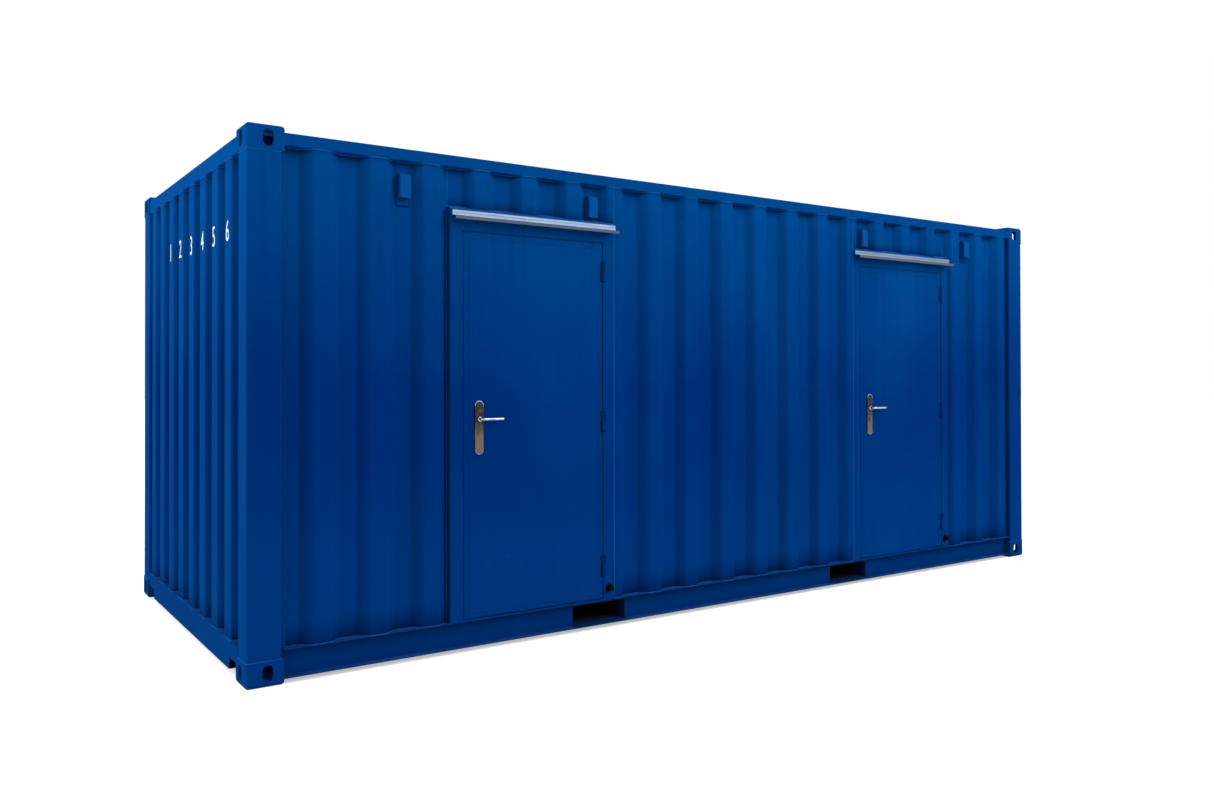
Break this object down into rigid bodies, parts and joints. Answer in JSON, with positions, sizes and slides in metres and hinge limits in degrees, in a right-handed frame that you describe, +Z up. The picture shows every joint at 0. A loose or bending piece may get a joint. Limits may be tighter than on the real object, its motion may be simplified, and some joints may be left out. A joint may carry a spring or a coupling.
{
  "type": "shipping container with personnel doors",
  "caption": "Corrugated steel shipping container for storage, with hinged personnel doors in one long side, forklift pockets and slotted corner castings",
  "frame": {"origin": "middle of the rectangle of base slots, on the level of the casting bases", "axes": "+X along the length away from the numbered end, -Y out of the side with the doors, +Z up"},
  "size_m": [6.058, 2.4985, 2.591],
  "materials": {
    "container_paint": "semi-gloss blue enamel over steel",
    "underframe_paint": "dull dark underbody coating",
    "floor_plywood": "worn marine plywood",
    "lock_steel": "satin stainless steel",
    "gutter_aluminium": "mill-finish aluminium",
    "stop_rubber": "black rubber"
  },
  "bodies": {
    "root": {"back_wall": "container_paint", "end_wall_left": "container_paint", "end_wall_right": "container_paint", "front_wall_left": "container_paint", "front_wall_middle": "container_paint", "front_wall_right": "container_paint", "wall_over_door_1": "container_paint", "wall_over_door_2": "container_paint", "roof": "container_paint", "roof_end_plates": "container_paint", "bottom_rail_front": "container_paint", "bottom_rail_back": "container_paint", "bottom_rail_left": "container_paint", "bottom_rail_right": "container_paint", "top_rail_front": "container_paint", "top_rail_back": "container_paint", "top_rail_left": "container_paint", "top_rail_right": "container_paint", "door_frame_1": "container_paint", "door_frame_2": "container_paint", "frame_hinges_1": "container_paint", "frame_hinges_2": "container_paint", "vent_hoods": "container_paint", "casting_bottom_left_front": "container_paint", "casting_bottom_left_back": "container_paint", "casting_bottom_right_front": "container_paint", "casting_bottom_right_back": "container_paint", "casting_top_left_front": "container_paint", "casting_top_left_back": "container_paint", "casting_top_right_front": "container_paint", "casting_top_right_back": "container_paint", "post_left_front": "container_paint", "post_left_back": "container_paint", "post_right_front": "container_paint", "post_right_back": "container_paint", "cross_members": "underframe_paint", "forklift_pockets": "underframe_paint", "floor_deck": "floor_plywood", "drip_gutters": "gutter_aluminium", "door_stops": "stop_rubber"},
    "door_1": {"door_leaf_1": "container_paint", "leaf_hinges_1": "container_paint", "lock_plates_1": "lock_steel"},
    "lever_1": {"lever_1": "lock_steel"},
    "door_2": {"door_leaf_2": "container_paint", "leaf_hinges_2": "container_paint", "lock_plates_2": "lock_steel"},
    "lever_2": {"lever_2": "lock_steel"}
  },
  "joints": [
    {"name": "door_1_swing", "type": "hinge", "parent": "root", "child": "door_1", "pos_m": [-1.042, -1.214, 1.17], "axis": [0, 0, 1], "range_deg": [0, 120]},
    {"name": "lever_1_turn", "type": "hinge", "parent": "door_1", "child": "lever_1", "pos_m": [-1.8325, -1.211, 1.203], "axis": [0, 1, 0], "range_deg": [0, 45], "stiffness_Nm_per_rad": 2, "springref_deg": -20.05},
    {"name": "door_2_swing", "type": "hinge", "parent": "root", "child": "door_2", "pos_m": [2.005, -1.214, 1.17], "axis": [0, 0, 1], "range_deg": [0, 120]},
    {"name": "lever_2_turn", "type": "hinge", "parent": "door_2", "child": "lever_2", "pos_m": [1.2145, -1.211, 1.203], "axis": [0, 1, 0], "range_deg": [0, 45], "stiffness_Nm_per_rad": 2, "springref_deg": -20.05}
  ]
}
